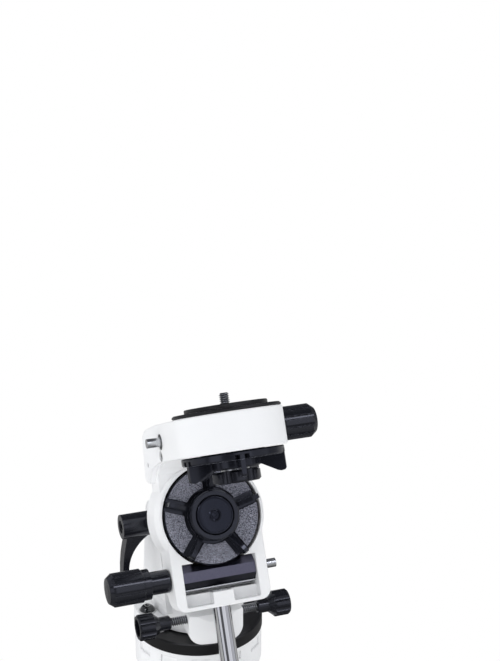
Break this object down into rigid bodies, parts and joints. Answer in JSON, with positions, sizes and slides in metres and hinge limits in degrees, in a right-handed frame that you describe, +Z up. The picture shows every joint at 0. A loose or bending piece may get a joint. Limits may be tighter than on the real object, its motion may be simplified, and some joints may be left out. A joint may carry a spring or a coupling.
{
  "type": "equatorial mount",
  "caption": "Light German equatorial telescope mount: round foot, azimuth turret with altitude fork, polar and declination heads with worm slow motion and clutches, counterweight on a bar.",
  "frame": {"origin": "centre of the foot's underside, at the mouth of the tripod thread", "axes": "+Z up along the azimuth axis, -Y forward to where the polar axis leans, +X to the right seen from the front"},
  "size_m": [0.1434, 0.2289, 0.3432],
  "materials": {
    "white": "satin white powder coat",
    "black_plate": "satin black paint",
    "black_plastic": "moulded black plastic, lightly textured",
    "anodised": "satin black anodised",
    "steel": "turned bright steel",
    "dark_steel": "black oxide",
    "chrome": "bright chrome",
    "brass": "turned",
    "aluminium": "turned",
    "iron": "black enamel over cast iron",
    "vial": "dark glass dome",
    "light_rim": "light rim",
    "scale": "engraved strip",
    "red": "red enamel"
  },
  "bodies": {
    "foot": {"foot": "white", "azimuth_plate": "black_plate", "plate_screws": "steel", "azimuth_peg": "steel"},
    "turret": {"turret": "white", "azimuth_hub": "steel", "hub_nut": "steel", "level_ring": "light_rim", "level_vial": "vial", "altitude_bolt": "steel", "altitude_bolt_cap": "black_plastic", "latitude_pointer": "red"},
    "left_tip": {"left_azimuth_tip": "brass"},
    "left_screw": {"left_azimuth_screw": "steel", "left_azimuth_knob": "black_plastic"},
    "right_tip": {"right_azimuth_tip": "brass"},
    "right_screw": {"right_azimuth_screw": "steel", "right_azimuth_knob": "black_plastic"},
    "altitude_pad": {"altitude_pad": "brass"},
    "altitude_screw": {"altitude_screw": "steel", "altitude_handle": "black_plastic"},
    "altitude_lever": {"altitude_lever": "black_plastic", "lever_cap": "black_plastic"},
    "polar_body": {"polar_housing": "white", "polar_cap": "black_plastic", "latitude_scale": "scale", "polar_shaft": "steel", "shaft_screws": "dark_steel", "polar_collar": "steel"},
    "polar_circle": {"polar_circle": "black_plate"},
    "polar_wheel": {"polar_wheel": "brass"},
    "polar_clutch": {"polar_clutch_knob": "black_plastic", "polar_clutch_cap": "black_plastic"},
    "head": {"head_casting": "white", "polar_bush": "brass", "worm_carrier": "anodised", "carrier_spring": "steel", "carrier_screws": "steel", "worm_bushes": "brass", "dec_bush": "brass", "dec_worm_carrier": "anodised", "dec_worm_bushes": "brass", "counterweight_bar": "chrome", "bar_stop": "black_plastic"},
    "polar_worm": {"polar_worm": "steel", "polar_slow_knob": "black_plastic"},
    "dec_wheel": {"dec_wheel": "brass"},
    "dec_worm": {"dec_worm": "steel", "dec_slow_knob": "black_plastic"},
    "dec_shaft": {"dec_shaft": "aluminium", "dec_collar": "steel", "telescope_platform": "black_plate", "platform_screws": "dark_steel"},
    "dec_circle": {"dec_circle": "black_plate"},
    "dec_clutch": {"dec_clutch_knob": "black_plastic"},
    "washer": {"telescope_washer": "steel"},
    "telescope_screw": {"telescope_screw": "steel", "telescope_knob": "black_plastic"},
    "counterweight": {"counterweight": "iron"},
    "weight_lock": {"weight_lock": "black_plastic"}
  },
  "joints": [
    {"name": "azimuth_turn", "type": "hinge", "parent": "foot", "child": "turret", "pos_m": [0, 0, 0], "axis": [0, 0, 1], "range_deg": [-8, 8]},
    {"name": "left_tip_slide", "type": "slide", "parent": "turret", "child": "left_tip", "axis": [1, 0, 0], "range_m": [-0.0047, 0.0047]},
    {"name": "left_screw_turn", "type": "hinge", "parent": "left_tip", "child": "left_screw", "pos_m": [0, -0.0335, 0.0486], "axis": [1, 0, 0], "range_deg": [-1690, 1690]},
    {"name": "right_tip_slide", "type": "slide", "parent": "turret", "child": "right_tip", "axis": [1, 0, 0], "range_m": [-0.0047, 0.0047]},
    {"name": "right_screw_turn", "type": "hinge", "parent": "right_tip", "child": "right_screw", "pos_m": [0, -0.0335, 0.0486], "axis": [1, 0, 0], "range_deg": [-1690, 1690]},
    {"name": "altitude_tilt", "type": "hinge", "parent": "turret", "child": "polar_body", "pos_m": [0, 0.0125, 0.0995], "axis": [-1, 0, 0], "range_deg": [-1, 38.5]},
    {"name": "altitude_pad_slide", "type": "slide", "parent": "turret", "child": "altitude_pad", "axis": [0, -0.9397, 0.342], "range_m": [-0.0006, 0.0176]},
    {"name": "altitude_screw_turn", "type": "hinge", "parent": "altitude_pad", "child": "altitude_screw", "pos_m": [0, 0.00361, 0.07507], "axis": [0, -0.9397, 0.342], "range_deg": [-132, 5040]},
    {"name": "altitude_clamp", "type": "hinge", "parent": "turret", "child": "altitude_lever", "pos_m": [0, 0.0125, 0.0995], "axis": [1, 0, 0], "range_deg": [-20, 60]},
    {"name": "polar_circle_turn", "type": "hinge", "parent": "polar_body", "child": "polar_circle", "pos_m": [0, -0.0054, 0.10842], "axis": [0, -0.8949, 0.4462], "continuous": true},
    {"name": "polar_slip", "type": "hinge", "parent": "polar_body", "child": "polar_wheel", "pos_m": [0, -0.0233, 0.11735], "axis": [0, -0.8949, 0.4462], "continuous": true},
    {"name": "polar_slow", "type": "hinge", "parent": "polar_wheel", "child": "head", "pos_m": [0, -0.0233, 0.11735], "axis": [0, -0.8949, 0.4462], "continuous": true},
    {"name": "polar_worm_turn", "type": "hinge", "parent": "head", "child": "polar_worm", "pos_m": [0, -0.04003, 0.08379], "axis": [1, 0, 0], "continuous": true},
    {"name": "polar_clutch_turn", "type": "hinge", "parent": "polar_body", "child": "polar_clutch", "pos_m": [0, -0.03225, 0.12181], "axis": [0, -0.8949, 0.4462], "range_deg": [-90, 180]},
    {"name": "dec_slow", "type": "hinge", "parent": "head", "child": "dec_wheel", "pos_m": [0, -0.06771, 0.19704], "axis": [0, 0.4462, 0.8949], "continuous": true},
    {"name": "dec_worm_turn", "type": "hinge", "parent": "head", "child": "dec_worm", "pos_m": [0, -0.03415, 0.1803], "axis": [1, 0, 0], "continuous": true},
    {"name": "dec_slip", "type": "hinge", "parent": "dec_wheel", "child": "dec_shaft", "pos_m": [0, -0.06391, 0.20464], "axis": [0, 0.4462, 0.8949], "continuous": true},
    {"name": "dec_circle_turn", "type": "hinge", "parent": "dec_shaft", "child": "dec_circle", "pos_m": [0, -0.06213, 0.20822], "axis": [0, 0.4462, 0.8949], "continuous": true},
    {"name": "dec_clutch_turn", "type": "hinge", "parent": "dec_shaft", "child": "dec_clutch", "pos_m": [0, -0.07569, 0.18102], "axis": [0, 0.4462, 0.8949], "range_deg": [-180, 90]},
    {"name": "telescope_screw_lift", "type": "slide", "parent": "dec_shaft", "child": "washer", "axis": [0, 0.4462, 0.8949], "range_m": [-0.006, 0]},
    {"name": "telescope_screw_turn", "type": "hinge", "parent": "washer", "child": "telescope_screw", "pos_m": [0, -0.0773, 0.17779], "axis": [0, 0.4462, 0.8949], "continuous": true},
    {"name": "weight_slide", "type": "slide", "parent": "head", "child": "counterweight", "axis": [0, -0.4462, -0.8949], "range_m": [-0.042, 0.04]},
    {"name": "weight_lock_turn", "type": "hinge", "parent": "counterweight", "child": "weight_lock", "pos_m": [0, -0.10584, -0.04821], "axis": [0, -0.8949, 0.4462], "range_deg": [-360, 360]}
  ],
  "couplings": [
    {"joint": "left_tip_slide", "follows": "azimuth_turn", "m_per_rad": -0.0335},
    {"joint": "left_screw_turn", "follows": "azimuth_turn", "ratio": -210.49},
    {"joint": "right_tip_slide", "follows": "azimuth_turn", "m_per_rad": -0.0335},
    {"joint": "right_screw_turn", "follows": "azimuth_turn", "ratio": -210.49},
    {"joint": "altitude_pad_slide", "follows": "altitude_tilt", "m_per_rad": 0.026},
    {"joint": "altitude_screw_turn", "follows": "altitude_tilt", "ratio": 130.69},
    {"joint": "polar_worm_turn", "follows": "polar_slow", "ratio": 100},
    {"joint": "dec_worm_turn", "follows": "dec_slow", "ratio": 100}
  ]
}
